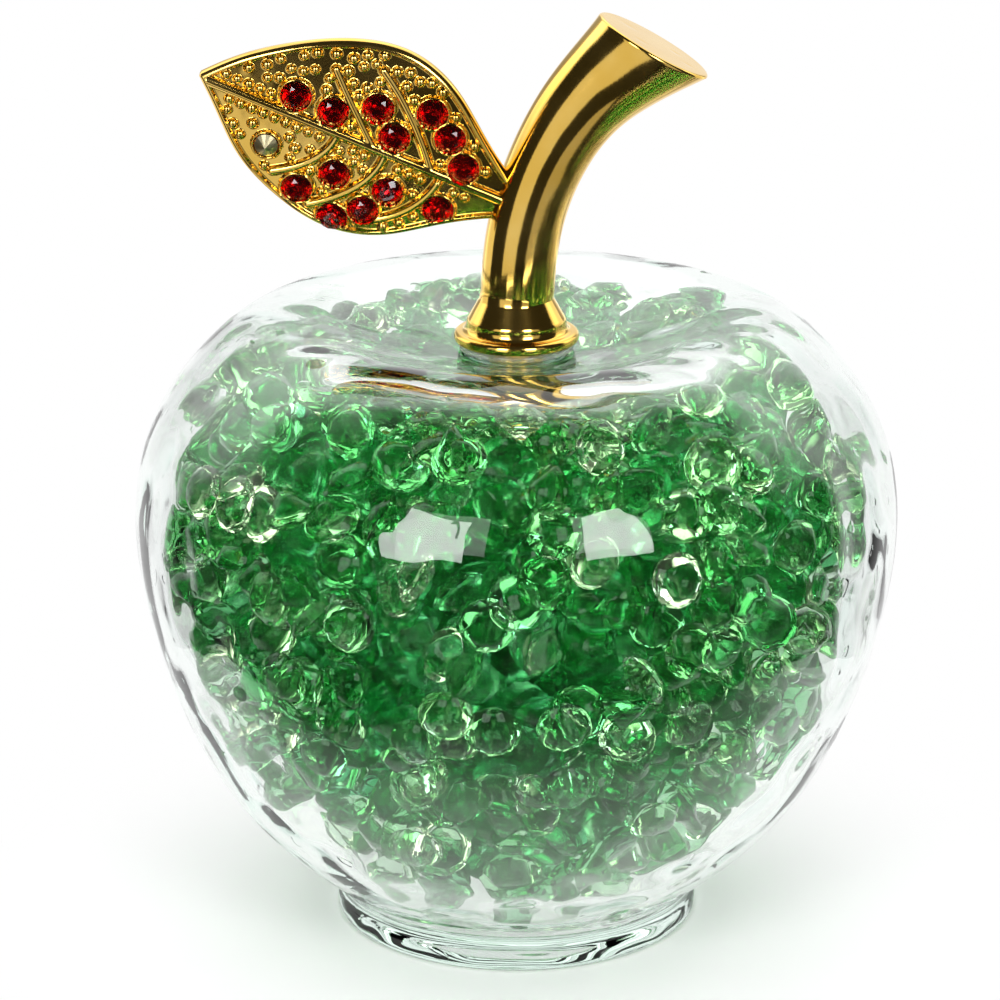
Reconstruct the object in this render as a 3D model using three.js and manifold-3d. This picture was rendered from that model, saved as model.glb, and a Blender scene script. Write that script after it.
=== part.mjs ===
// Apple figurine: a blown-glass apple filled with loose cut gems, closed by a gilt stem on a soft bung.
// The stem carries a gilt leaf set with small faceted stones.
// Millimetres, +Z up. The origin is on the apple's axis, at the underside of its foot.
import * as THREE from 'three';
import { mergeVertices } from 'three/addons/utils/BufferGeometryUtils.js';
import Module from 'manifold-3d';

const wasm = await Module();
wasm.setup();

// Glass shell
const appleRadius = 40;
const widestHeight = 48;
const crestRadius = 25;
const crestHeight = 66.3;
const dimpleFloor = 62.25;
const dimpleFloorRadius = 5.9;
const glassWall = 2.8;
const cavityFloor = 2.8;
const floorCorner = 0.88;
const floorSteps = 4;
const neckRadius = 4.9;
const neckLip = 0.7;
const footRadius = 19.4;
const footRound = 0.6;
const footRimHeight = 1.6;
const footWaistRadius = 18.5;
const footTop = 4.8;
const footTopRadius = 20.6;
const footRingInner = 15.6;
const footKick = 0.8;
const footKickSpread = 0.7;
const glassSides = 32;
const outerSteps = 2;
const innerSteps = 1;

const fullTurn = 2 * Math.PI;

// Outer profile of the apple from the top of its foot to the floor of its dimple, as radius and height
const appleProfile = [
  [footTopRadius, footTop],
  [28.5, 12],
  [35.3, 23],
  [39.05, 35],
  [appleRadius, widestHeight],
  [37.55, 56],
  [33.45, 61.5],
  [29.3, 65],
  [crestRadius, crestHeight],
  [16, 64.3],
  [9, 62.75],
  [dimpleFloorRadius, dimpleFloor],
].map(([radius, height]) => new THREE.Vector2(radius, height));

// Loose gems: round brilliants that lie against the wall, joined where they touch
const gemTable = 1.75;
const gemTableSides = 6;
const gemCrown = 1.1;
const gemTilt = Math.tan(THREE.MathUtils.degToRad(24));
const gemValley = 1.2;
const gemScatter = 0.45;
const gemZigzag = 1 / 6;
const gemStray = 0.12;
const gemReach = 2.1;
const gemRow = 6.4;
const gemCounts = [[21, 28], [11, 14], [0, 7]];
const gemSeed = 20;
const wallGap = 0.4;
const fillDishRadius = 10;
const fillDishDepth = 0.9;

// Stem: a horn on a conical foot and a flange, with a spigot below
const flangeRadius = 6.55;
const flangeBottom = 63.3;
const flangeTop = 64.5;
const flangeRound = 0.65;
const coneBottom = 65.7;
const coneBottomRadius = 5.2;
const coneTop = 68;
const hornRadius = 3.87;
const hornEndRadius = 5.85;
const hornFlare = 4;
const hornCutAngle = THREE.MathUtils.degToRad(24);
const hornSides = 20;
const hornRings = 14;
const spigotRadius = 2.9;
const spigotBottom = 57;
const turnedSides = 28;
const turnedSteps = 2;
const hornLine = new THREE.CatmullRomCurve3([
  new THREE.Vector3(0, 0, 66),
  new THREE.Vector3(0.25, 0, 71),
  new THREE.Vector3(1, 0, 76.2),
  new THREE.Vector3(3.2, 0, 82.6),
  new THREE.Vector3(7, 0, 88.6),
  new THREE.Vector3(13.95, 0, 94.56),
]);

// Soft bung round the spigot
const bungRadius = 4.4;
const bungRib = 0.25;
const bungRibs = 3;
const bungRibPitch = 1.5;
const bungBottom = 55.6;
const bungBottomRadius = 3.9;
const bungFloor = 0.9;
const bungLipRadius = 6;
const bungLipBottom = 62.5;
const bungLipTop = 63.2;
const runningGap = 0.09;

// Leaf, in its own frame: x runs from the tip to the stem, y across and z out of the face
const leafRoot = new THREE.Vector3(-2.2, -1, 78.6);
const leafRise = THREE.MathUtils.degToRad(23.5);
const leafLean = THREE.MathUtils.degToRad(10);
const leafThickness = 1.8;
const leafCurl = 0.8;
const leafHalfWidth = 11;
const leafEdgePower = 8;
const leafRings = 13;
const leafAcross = 8;
const midribRadius = 0.55;
const veinRadius = 0.45;
const veinSides = 6;
const veinSteps = 5;
const midribTip = [-32, 0.2];
const midribFoot = [-0.9, 0.6];
const midribDip = 0.2;
const tabSize = new THREE.Vector3(2.8, 3, 1.1);
const tabCentre = new THREE.Vector3(0.5, 0.6, -0.1);
const tabGap = 0.3;

const upperEdge = new THREE.SplineCurve([
  new THREE.Vector2(-1, 4.05),
  new THREE.Vector2(-4, 6.3),
  new THREE.Vector2(-8.5, 9.6),
  new THREE.Vector2(-14.1, 11.28),
  new THREE.Vector2(-20, 10.15),
  new THREE.Vector2(-26, 6.95),
  new THREE.Vector2(-30.9, 2.9),
  new THREE.Vector2(-33, 0.5),
]);
const lowerEdge = new THREE.SplineCurve([
  new THREE.Vector2(-0.6, -2.5),
  new THREE.Vector2(-4.8, -5.4),
  new THREE.Vector2(-9.4, -8.8),
  new THREE.Vector2(-15.4, -10.33),
  new THREE.Vector2(-21, -9.15),
  new THREE.Vector2(-26, -6.6),
  new THREE.Vector2(-30.4, -2.4),
  new THREE.Vector2(-33, 0.1),
]);

// Side veins, each from its root on the midrib through a bend to its end
const veins = [
  [[-13.5, 0.2], [-17.3, 3.6], [-20.4, 6.7]],
  [[-7.2, 0.3], [-11.2, 5.6], [-15.9, 8.5]],
  [[-17.6, -0.2], [-17.9, -3.6], [-22.3, -6.5]],
  [[-12.3, -0.2], [-12.4, -4.4], [-17.5, -8.45]],
  [[-6.2, -0.5], [-7, -5.3], [-12.2, -8.2]],
];

// Stones: centres on the leaf's face
const stoneRadius = 1.48;
const stoneSides = 8;
const stonePavilion = 0.68;
const stoneTable = 0.56;
const stoneCrown = 0.35;
const stoneGirdleLow = -0.05;
const stoneGirdleHigh = 0.1;
const seatGap = 0.27;
const seatSink = 0.12;
const seatDepth = 1.4;
const seatFloorRadius = 0.4;
const seatShoulder = 0.3;
const seatClearance = 1;
const greyStoneScale = 0.83;
const redStonePlaces = [
  [-23.1, 2.45],
  [-19, 2.4],
  [-14.9, 4.65],
  [-9.6, 6.35],
  [-6.9, 4.6],
  [-12.2, 2.4],
  [-4.4, 2.2],
  [-16.3, -3.95],
  [-19.25, -7.15],
  [-10.55, -3.5],
  [-12.1, -6.55],
  [-14.7, -8.75],
  [-5, -3.15],
];
const greyStonePlace = [-23.9, -3.95];

const glassFinish = new THREE.MeshStandardMaterial({
  color: 0xeef6f2,
  roughness: 0.03,
  metalness: 0,
  transparent: true,
  opacity: 0.3,
});
const gemFinish = new THREE.MeshStandardMaterial({ color: 0x4fae6c, roughness: 0.08, metalness: 0 });
const giltFinish = new THREE.MeshStandardMaterial({ color: 0xe0ac3e, roughness: 0.12, metalness: 1 });
const bungFinish = new THREE.MeshStandardMaterial({ color: 0xe6ece8, roughness: 0.45, metalness: 0 });
const redFinish = new THREE.MeshStandardMaterial({ color: 0xb00a1e, roughness: 0.06, metalness: 0 });
const greyFinish = new THREE.MeshStandardMaterial({ color: 0x8c8766, roughness: 0.3, metalness: 0.6 });

// A closed geometry as a solid for joining and cutting
function toSolid(geometry) {
  const bare = geometry.clone();
  bare.deleteAttribute('normal');
  bare.deleteAttribute('uv');
  const welded = mergeVertices(bare);
  const corners = welded.index.array;
  const triangles = [];
  for (let i = 0; i < corners.length; i += 3) {
    const [a, b, c] = corners.slice(i, i + 3);
    if (a !== b && b !== c && c !== a) triangles.push(a, b, c);
  }
  return new wasm.Manifold(new wasm.Mesh({
    numProp: 3,
    vertProperties: new Float32Array(welded.attributes.position.array),
    triVerts: new Uint32Array(triangles),
  }));
}

function toGeometry(solid) {
  const { vertProperties, triVerts } = solid.getMesh();
  const geometry = new THREE.BufferGeometry();
  geometry.setAttribute('position', new THREE.BufferAttribute(new Float32Array(vertProperties), 3));
  geometry.setIndex(new THREE.BufferAttribute(new Uint32Array(triVerts), 1));
  geometry.computeVertexNormals();
  return geometry;
}

// A profile of radius and height, turned about the Z axis
function turned(profile, sides) {
  return new THREE.LatheGeometry(profile, sides).rotateX(Math.PI / 2);
}

// A closed skin over rings of equal point count, with a flat fan over each end
function loft(rings) {
  const count = rings[0].length;
  const points = rings.flat();
  const index = [];
  for (let ring = 0; ring + 1 < rings.length; ring += 1) {
    for (let i = 0; i < count; i += 1) {
      const a = ring * count + i;
      const b = ring * count + (i + 1) % count;
      index.push(a, b, b + count, a, b + count, a + count);
    }
  }
  const last = (rings.length - 1) * count;
  for (const [start, flip] of [[0, true], [last, false]]) {
    const centre = new THREE.Vector3();
    for (let i = 0; i < count; i += 1) centre.addScaledVector(points[start + i], 1 / count);
    points.push(centre);
    for (let i = 0; i < count; i += 1) {
      const a = start + i;
      const b = start + (i + 1) % count;
      index.push(...(flip ? [b, a] : [a, b]), points.length - 1);
    }
  }
  const geometry = new THREE.BufferGeometry().setFromPoints(points);
  geometry.setIndex(index);
  geometry.computeVertexNormals();
  return geometry;
}

// The stations of a profile, each moved along the inward normal
function inset(profile, depth) {
  const curve = new THREE.SplineCurve(profile);
  return profile.map((station, i) => {
    const along = curve.getTangent(i / (profile.length - 1));
    const outward = new THREE.Vector2(along.y, -along.x);
    return station.clone().addScaledVector(outward, -depth);
  });
}

function part(name, geometry, finish) {
  const mesh = new THREE.Mesh(geometry, finish);
  mesh.name = name;
  return mesh;
}

// Glass apple: one shell with a kicked-up foot, a dimple and an open neck
const cavity = inset(appleProfile, glassWall);

function glassApple() {
  const outside = new THREE.Path();
  outside.moveTo(0, footKick);
  outside.quadraticCurveTo(footRingInner * footKickSpread, footKick, footRingInner, 0);
  outside.lineTo(footRadius - footRound, 0);
  outside.quadraticCurveTo(footRadius, 0, footRadius, footRound);
  outside.lineTo(footRadius, footRimHeight);
  outside.quadraticCurveTo(footWaistRadius, (footRimHeight + footTop) / 2, footTopRadius, footTop);
  outside.splineThru(appleProfile.slice(1));
  outside.quadraticCurveTo(neckRadius, dimpleFloor, neckRadius, dimpleFloor - neckLip);
  const neckFoot = cavity.at(-1);
  const inside = new THREE.Path();
  inside.moveTo(neckRadius, neckFoot.y + neckLip);
  inside.lineTo(neckFoot.x, neckFoot.y);
  inside.splineThru(cavity.slice(0, -1).reverse());
  const corner = cavity[0];
  const bend = new THREE.Vector2(floorCorner * corner.x, cavityFloor);
  const floor = new THREE.QuadraticBezierCurve(corner, bend, new THREE.Vector2(0, cavityFloor));
  const profile = [
    ...outside.getPoints(outerSteps),
    ...inside.getPoints(innerSteps),
    ...floor.getPoints(floorSteps).slice(1),
  ];
  return part('glass_apple', turned(profile, glassSides), glassFinish);
}

// Repeatable random numbers between 0 and 1
function randomSource(seed) {
  let state = seed;
  return () => {
    state = (state + 0x6d2b79f5) | 0;
    let mixed = Math.imul(state ^ (state >>> 15), 1 | state);
    mixed = (mixed + Math.imul(mixed ^ (mixed >>> 7), 61 | mixed)) ^ mixed;
    return ((mixed ^ (mixed >>> 14)) >>> 0) / 2 ** 32;
  };
}

// Path from the floor of the cavity, up along its wall and in under the bung
function fillPath() {
  const clearance = wallGap + gemReach;
  const [corner, ...stations] = inset(appleProfile, glassWall + clearance).slice(0, -2);
  const bottom = cavityFloor + clearance;
  const top = bungBottom - clearance;
  stations.push(new THREE.Vector2(fillDishRadius, top + fillDishDepth));
  const path = new THREE.Path();
  path.moveTo(0, bottom);
  path.quadraticCurveTo(floorCorner * corner.x, bottom, corner.x, corner.y);
  path.splineThru(stations);
  path.lineTo(0, top);
  return path;
}

// Triangles between two loops of corners that run the same way round a centre, matched by their angles
function stitch(outer, inner) {
  const angleOf = (loop, i) => loop[i % loop.length].angle + (i < loop.length ? 0 : fullTurn);
  const idOf = (loop, i) => loop[i % loop.length].id;
  const corners = [];
  let o = 0;
  let i = 0;
  while (o < outer.length || i < inner.length) {
    const outerIsNear = i === inner.length || angleOf(outer, o + 1) < angleOf(inner, i + 1);
    const outerNext = o < outer.length && outerIsNear;
    const next = outerNext ? idOf(outer, o + 1) : idOf(inner, i + 1);
    corners.push(idOf(outer, o), next, idOf(inner, i));
    if (outerNext) o += 1;
    else i += 1;
  }
  return corners;
}

// Gem fill: rows of crowns packed like a honeycomb, each with a tilted table and facets to its neighbours
function gemFill() {
  const random = randomSource(gemSeed);
  const scatter = (amount) => amount * (2 * random() - 1);
  const path = fillPath();
  const rows = Math.round(path.getLength() / gemRow);
  const points = [];
  const index = [];
  const addPoint = (point) => points.push(point) - 1;
  const gemsAt = (row) => {
    const radius = path.getPoint(row / rows).x;
    return gemCounts.find(([least]) => radius >= least)[1];
  };
  const outwardAt = (row, around) => {
    const along = path.getTangent(row / rows);
    return new THREE.Vector3(along.y * Math.cos(around), along.y * Math.sin(around), -along.x);
  };

  const rings = [];
  for (let row = 1; row < rows; row += 1) {
    const count = 2 * Math.max(gemsAt(row - 0.5), gemsAt(row + 0.5));
    rings[row] = Array.from({ length: count }, (_, i) => {
      const at = row + ((i + row) % 2 ? -gemZigzag : gemZigzag) + scatter(gemStray);
      const { x: radius, y: height } = path.getPoint(at / rows);
      const around = fullTurn * (i + scatter(gemStray)) / count;
      const point = new THREE.Vector3(radius * Math.cos(around), radius * Math.sin(around), height);
      return addPoint(point.addScaledVector(outwardAt(row, around), scatter(gemScatter) - gemValley));
    });
  }

  for (let row = 1; row + 1 < rows; row += 1) {
    const gems = gemsAt(row + 0.5);
    for (let gem = 0; gem < gems; gem += 1) {
      const around = fullTurn * (gem + 0.5 + (row % 2) / 2) / gems;
      const outward = outwardAt(row + 0.5, around);
      const right = new THREE.Vector3(-Math.sin(around), Math.cos(around), 0);
      const upslope = new THREE.Vector3().crossVectors(outward, right);
      const [below, above] = [rings[row], rings[row + 1]].map((ring) => {
        const span = ring.length / gems;
        const first = gem * span + (row % 2) * span / 2;
        return Array.from({ length: span + 1 }, (_, i) => ring[(first + i) % ring.length]);
      });
      const border = [...below, ...above.reverse()];
      const centre = new THREE.Vector3();
      for (const id of border) centre.addScaledVector(points[id], 1 / border.length);
      const bearing = (id) => {
        const offset = points[id].clone().sub(centre);
        return Math.atan2(offset.dot(upslope), offset.dot(right));
      };
      const start = bearing(border[0]);
      const angleNear = (id, expected) => {
        const angle = bearing(id) - start;
        return angle + fullTurn * Math.round((expected - angle) / fullTurn);
      };
      const [rock, roll, spin] = [scatter(gemTilt), scatter(gemTilt), random()];
      const table = Array.from({ length: gemTableSides }, (_, i) => {
        const angle = fullTurn * (i + spin) / gemTableSides;
        const [x, y] = [gemTable * Math.cos(angle), gemTable * Math.sin(angle)];
        const rise = gemValley + gemCrown + rock * x + roll * y;
        const point = centre.clone().addScaledVector(right, x).addScaledVector(upslope, y);
        return addPoint(point.addScaledVector(outward, rise));
      });
      let reached = 0;
      const outer = border.map((id, i) => {
        reached = Math.max(reached, angleNear(id, fullTurn * i / border.length));
        return { id, angle: reached };
      });
      const inner = table.map((id) => ({ id, angle: angleNear(id, fullTurn / 2) }));
      inner.sort((a, b) => a.angle - b.angle);
      index.push(...stitch(outer, inner));
      for (let i = 1; i + 1 < gemTableSides; i += 1) index.push(table[0], table[i], table[i + 1]);
    }
  }

  for (const [ring, t, flip] of [[rings[1], 0, true], [rings[rows - 1], 1, false]]) {
    const middle = addPoint(new THREE.Vector3(0, 0, path.getPoint(t).y));
    ring.forEach((id, i) => {
      const next = ring[(i + 1) % ring.length];
      index.push(...(flip ? [next, id] : [id, next]), middle);
    });
  }
  const geometry = new THREE.BufferGeometry().setFromPoints(points);
  geometry.setIndex(index);
  geometry.computeVertexNormals();
  return part('gem_fill', geometry, gemFinish);
}

// Soft bung: a ribbed cup round the spigot with a thin lip under the flange
function neckBung() {
  const bore = spigotRadius + runningGap;
  const path = new THREE.Path();
  path.moveTo(0, bungBottom);
  path.lineTo(bungBottomRadius, bungBottom);
  const firstRib = bungLipBottom - (bungRibs + 0.5) * bungRibPitch;
  path.lineTo(bungRadius, firstRib);
  for (let rib = 0; rib < bungRibs; rib += 1) {
    const low = firstRib + rib * bungRibPitch;
    path.quadraticCurveTo(bungRadius + 2 * bungRib, low + bungRibPitch / 2, bungRadius, low + bungRibPitch);
  }
  path.lineTo(bungRadius, bungLipBottom);
  path.lineTo(bungLipRadius, bungLipBottom);
  path.lineTo(bungLipRadius, bungLipTop);
  path.lineTo(bore, bungLipTop);
  path.lineTo(bore, bungBottom + bungFloor);
  path.lineTo(0, bungBottom + bungFloor);
  return part('neck_bung', turned(path.getPoints(turnedSteps), turnedSides), bungFinish);
}

// Turned foot of the stem: spigot, round-edged flange, hollow fillet and cone
function stemFoot() {
  const path = new THREE.Path();
  path.moveTo(0, spigotBottom);
  path.lineTo(spigotRadius, spigotBottom);
  path.lineTo(spigotRadius, flangeBottom);
  path.lineTo(flangeRadius - flangeRound, flangeBottom);
  path.quadraticCurveTo(flangeRadius, flangeBottom, flangeRadius, (flangeBottom + flangeTop) / 2);
  path.quadraticCurveTo(flangeRadius, flangeTop, flangeRadius - flangeRound, flangeTop);
  path.quadraticCurveTo(coneBottomRadius, flangeTop, coneBottomRadius, coneBottom);
  path.lineTo(hornRadius, coneTop);
  path.lineTo(0, coneTop);
  return turned(path.getPoints(turnedSteps), turnedSides);
}

// Flaring horn, whose rings lean over until the last one lies in the slanted cut
function horn() {
  const rings = [];
  const across = new THREE.Vector3(0, 1, 0);
  for (let ring = 0; ring <= hornRings; ring += 1) {
    const t = ring / hornRings;
    const centre = hornLine.getPointAt(t);
    const along = hornLine.getTangentAt(t);
    const side = new THREE.Vector3().crossVectors(across, along);
    const radius = THREE.MathUtils.lerp(hornRadius, hornEndRadius, t ** hornFlare);
    const slant = Math.tan(hornCutAngle * t ** 2);
    const leaning = side.clone().addScaledVector(along, slant);
    const points = [];
    for (let i = 0; i < hornSides; i += 1) {
      const angle = fullTurn * i / hornSides;
      const point = centre.clone().addScaledVector(leaning, radius * Math.cos(angle));
      points.push(point.addScaledVector(across, radius * Math.sin(angle)));
    }
    rings.push(points);
  }
  return loft(rings);
}

function leafTab(gap) {
  const size = tabSize.clone().addScalar(2 * gap);
  return new THREE.BoxGeometry(size.x, size.y, size.z).translate(tabCentre.x, tabCentre.y, tabCentre.z);
}

function stem(leafFrame) {
  const pocket = toSolid(leafTab(tabGap).applyMatrix4(leafFrame.matrixWorld));
  const solid = toSolid(stemFoot()).add(toSolid(horn())).subtract(pocket);
  return part('stem', toGeometry(solid), giltFinish);
}

// Height of the leaf's middle layer over its own frame: the sides fall back from the midrib
function leafBend(y) {
  return -leafCurl * (y / leafHalfWidth) ** 2;
}

function leafFace(y) {
  return leafBend(y) + leafThickness / 2;
}

// Leaf plate: rings across the leaf, flat faced with a round border
function leafPlate() {
  const rings = [];
  for (let ring = 0; ring <= leafRings; ring += 1) {
    const upper = upperEdge.getPoint(ring / leafRings);
    const lower = lowerEdge.getPoint(ring / leafRings);
    const points = [];
    for (let i = 0; i < 2 * leafAcross; i += 1) {
      const angle = Math.PI * i / leafAcross;
      const place = lower.clone().lerp(upper, 0.5 - 0.5 * Math.cos(angle));
      const round = Math.sqrt(1 - Math.abs(Math.cos(angle)) ** leafEdgePower);
      const side = i < leafAcross ? 1 : -1;
      const height = leafBend(place.y) + side * round * leafThickness / 2;
      points.push(new THREE.Vector3(place.x, place.y, height));
    }
    rings.push(points);
  }
  return loft(rings);
}

// A round bar along a curve
function bar(curve, radius, steps) {
  const corners = [];
  for (let i = 0; i < veinSides; i += 1) {
    const angle = fullTurn * i / veinSides;
    corners.push(new THREE.Vector2(radius * Math.cos(angle), radius * Math.sin(angle)));
  }
  const section = new THREE.Shape(corners);
  return new THREE.ExtrudeGeometry(section, { steps, extrudePath: curve, bevelEnabled: false });
}

function onFace([x, y]) {
  return new THREE.Vector3(x, y, leafFace(y));
}

// Conical seat for a stone, open at the leaf's face
function seat() {
  const mouth = stoneRadius + seatGap;
  const profile = [
    new THREE.Vector2(0, -seatDepth),
    new THREE.Vector2(seatFloorRadius, -seatDepth),
    new THREE.Vector2(mouth, -seatShoulder),
    new THREE.Vector2(mouth, seatClearance),
    new THREE.Vector2(0, seatClearance),
  ];
  return turned(profile, stoneSides);
}

// Faceted stone with its girdle at the seat's mouth and its point down
function stone() {
  const profile = [
    new THREE.Vector2(0, -stonePavilion * stoneRadius),
    new THREE.Vector2(stoneRadius, stoneGirdleLow),
    new THREE.Vector2(stoneRadius, stoneGirdleHigh),
    new THREE.Vector2(stoneTable * stoneRadius, stoneCrown * stoneRadius),
    new THREE.Vector2(0, stoneCrown * stoneRadius),
  ];
  return turned(profile, stoneSides);
}

// Place and tilt of a stone that sits square on the bent face
function seatFrame([x, y]) {
  const frame = new THREE.Group();
  frame.position.set(x, y, leafFace(y) - seatSink);
  frame.rotation.x = -Math.atan(2 * leafCurl * y / leafHalfWidth ** 2);
  frame.updateMatrix();
  return frame;
}

function leaf() {
  const tip = new THREE.Vector3(...midribTip, leafFace(0) - midribDip);
  const foot = new THREE.Vector3(...midribFoot, leafFace(0));
  const midrib = bar(new THREE.LineCurve3(tip, foot), midribRadius, 1);
  let solid = toSolid(leafPlate()).add(toSolid(midrib));
  for (const vein of veins) {
    const curve = new THREE.QuadraticBezierCurve3(...vein.map(onFace));
    solid = solid.add(toSolid(bar(curve, veinRadius, veinSteps)));
  }
  solid = solid.add(toSolid(leafTab(0)));
  for (const place of [...redStonePlaces, greyStonePlace]) {
    solid = solid.subtract(toSolid(seat().applyMatrix4(seatFrame(place).matrix)));
  }
  return part('leaf', toGeometry(solid), giltFinish);
}

function redStones() {
  return redStonePlaces.map((place, i) => {
    const frame = seatFrame(place);
    frame.add(part(`red_stone_${String(i + 1).padStart(2, '0')}`, stone(), redFinish));
    return frame;
  });
}

// A smaller stone that was set the wrong way up, so that its point stands out of the leaf
function greyStone() {
  const frame = seatFrame(greyStonePlace);
  const mesh = part('grey_stone', stone(), greyFinish);
  mesh.scale.setScalar(greyStoneScale);
  mesh.rotation.x = Math.PI;
  frame.add(mesh);
  return frame;
}

// The leaf's frame stands up facing -Y, rises towards its tip and leans forward along its midrib
function leafFrames() {
  const standing = new THREE.Group();
  standing.position.copy(leafRoot);
  standing.rotation.x = Math.PI / 2;
  const rising = new THREE.Group();
  rising.rotation.z = -leafRise;
  const leaning = new THREE.Group();
  leaning.rotation.x = leafLean;
  standing.add(rising);
  rising.add(leaning);
  standing.updateMatrixWorld(true);
  return { standing, leaning };
}

const { standing, leaning } = leafFrames();
leaning.add(leaf(), ...redStones(), greyStone());

const apple = new THREE.Group();
apple.name = 'apple_figurine';
apple.add(glassApple(), gemFill(), neckBung(), stem(leaning), standing);

export default apple;
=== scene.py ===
import math

import bmesh
import bpy
import numpy as np
from mathutils import Euler, Matrix, Vector


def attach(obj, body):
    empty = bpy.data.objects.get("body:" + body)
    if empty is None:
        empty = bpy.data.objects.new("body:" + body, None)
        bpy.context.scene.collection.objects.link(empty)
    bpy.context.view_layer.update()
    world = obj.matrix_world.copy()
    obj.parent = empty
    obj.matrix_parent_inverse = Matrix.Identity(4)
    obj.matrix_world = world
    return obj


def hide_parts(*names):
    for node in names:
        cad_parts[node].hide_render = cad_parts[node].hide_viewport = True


# Looks of the apple figurine: blown glass filled with cut gems, under a gilt stem with a beaded leaf.
# Metres, +Z up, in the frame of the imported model.
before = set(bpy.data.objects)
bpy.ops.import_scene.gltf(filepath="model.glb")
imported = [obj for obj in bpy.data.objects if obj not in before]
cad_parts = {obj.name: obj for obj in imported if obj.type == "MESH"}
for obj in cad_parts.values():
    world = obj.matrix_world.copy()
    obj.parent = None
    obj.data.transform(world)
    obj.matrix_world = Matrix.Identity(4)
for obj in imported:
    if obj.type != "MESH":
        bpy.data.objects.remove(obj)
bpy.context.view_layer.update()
MM = 0.001

# Glass shell, as radius and height
FOOT_TOP = (20.6 * MM, 4.8 * MM)
APPLE_PROFILE = [
    FOOT_TOP,
    (28.5 * MM, 12 * MM),
    (35.3 * MM, 23 * MM),
    (39.05 * MM, 35 * MM),
    (40 * MM, 48 * MM),
    (37.55 * MM, 56 * MM),
    (33.45 * MM, 61.5 * MM),
    (29.3 * MM, 65 * MM),
    (25 * MM, 66.3 * MM),
    (16 * MM, 64.3 * MM),
    (9 * MM, 62.75 * MM),
    (5.9 * MM, 62.25 * MM),
]
GLASS_WALL = 2.4 * MM
CAVITY_FLOOR = 2.8 * MM
FLOOR_CORNER = 0.88
NECK_RADIUS = 4.9 * MM
NECK_LIP = 0.7 * MM
FOOT_RADIUS = 19.4 * MM
FOOT_ROUND = 0.6 * MM
FOOT_RIM_HEIGHT = 1.6 * MM
FOOT_WAIST = (18.5 * MM, 3.2 * MM)
FOOT_RING_INNER = 15.6 * MM
FOOT_KICK = 0.8 * MM
FOOT_KICK_SPREAD = 0.7
WAVE_DEPTH = 0.06 * MM
DRAG_DEPTH = 0.05 * MM
WAVE_RADIUS = 20 * MM
WAVE_FADE = (6 * MM, 14 * MM)
GLASS_SIDES = 192

# Gems: round brilliants, with the proportions of the cut as shares of the radius
GEM_COUNT = 2000
GEM_RADIUS = 2.95 * MM
GEM_SHOWN = 0.95
GEM_CUT = {"table": 0.56, "crown": 0.33, "girdle": 0.17, "pavilion": 0.86, "edge": 0.05}
GEM_LAYER = 4.8 * MM
GEM_SEED = 20
GEM_ROOM_TOP = 55 * MM
GEM_ROOM_TOP_RADIUS = 6 * MM
GEM_ROOM_NECK = 9 * MM
GEM_WALL_GAP = 0.1 * MM

# Tints of the acrylic: colour and density, and for the rubbed gems their roughness
CLEAR_TINTS = [
    ((0.1, 0.74, 0.26, 1), 230),
    ((0.16, 0.78, 0.24, 1), 150),
    ((0.06, 0.71, 0.3, 1), 300),
    ((0.2, 0.8, 0.26, 1), 70),
]
RUBBED_TINTS = [
    ((0.02, 0.84, 0.4, 1), 200, 0.18),
    ((0.02, 0.81, 0.42, 1), 270, 0.24),
    ((0.02, 0.82, 0.38, 1), 220, 0.14),
    ((0.02, 0.79, 0.43, 1), 310, 0.2),
]

# Bung
BUNG_RADIUS = 4.4 * MM
BUNG_RIB = 0.25 * MM
BUNG_RIBS = 3
BUNG_RIB_PITCH = 1.5 * MM
BUNG_BOTTOM = 55.6 * MM
BUNG_BOTTOM_RADIUS = 3.9 * MM
BUNG_CHAMFER = (0.4 * MM, 0.3 * MM)
BUNG_FLOOR = 0.9 * MM
BUNG_LIP = (6 * MM, 62.5 * MM, 63.2 * MM)
BUNG_LIP_CHAMFER = (0.2 * MM, 0.15 * MM)
BUNG_LIP_ROUND = 0.3 * MM
BUNG_BORE = 2.99 * MM
BUNG_SIDES = 96

# Stem
SPIGOT = (2.9 * MM, 57 * MM)
SPIGOT_CHAMFER = 0.3 * MM
FLANGE = (6.55 * MM, 63.3 * MM, 64.5 * MM)
FLANGE_ROUND = 0.65 * MM
CONE_BOTTOM = (5.2 * MM, 65.7 * MM)
CONE_BEND = (4.5 * MM, 66.9 * MM)
CONE_TOP = 68 * MM
HORN_RADIUS = 3.87 * MM
HORN_END_RADIUS = 5.85 * MM
HORN_FLARE = 4
HORN_CUT = math.radians(24)
HORN_LINE = [
    (0, 0, 66 * MM),
    (0.25 * MM, 0, 71 * MM),
    (1 * MM, 0, 76.2 * MM),
    (3.2 * MM, 0, 82.6 * MM),
    (7 * MM, 0, 88.6 * MM),
    (13.95 * MM, 0, 94.56 * MM),
]

# Leaf, in its own frame: x runs from the tip to the stem, y across and z out of the face
LEAF_ROOT = Vector((-2.2 * MM, -1 * MM, 78.6 * MM))
LEAF_RISE = math.radians(23.5)
LEAF_LEAN = math.radians(10)
LEAF_HALF = 0.9 * MM
LEAF_CURL = 0.8 * MM
LEAF_HALF_WIDTH = 11 * MM
UPPER_EDGE = np.array([
    (0.7, 2.9), (-1, 4.05), (-4, 6.3), (-8.5, 9.6), (-14.1, 11.28), (-20, 10.15), (-26, 6.95),
    (-30.9, 2.9), (-33, 0.5),
]) * MM
LOWER_EDGE = np.array([
    (1, -1.6), (-0.6, -2.5), (-4.8, -5.4), (-9.4, -8.8), (-15.4, -10.33), (-21, -9.15), (-26, -6.6),
    (-30.4, -2.4), (-33, 0.1),
]) * MM
MIDRIB = np.array([(-32, 0.2), (0.4, 0.6)]) * MM
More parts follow.
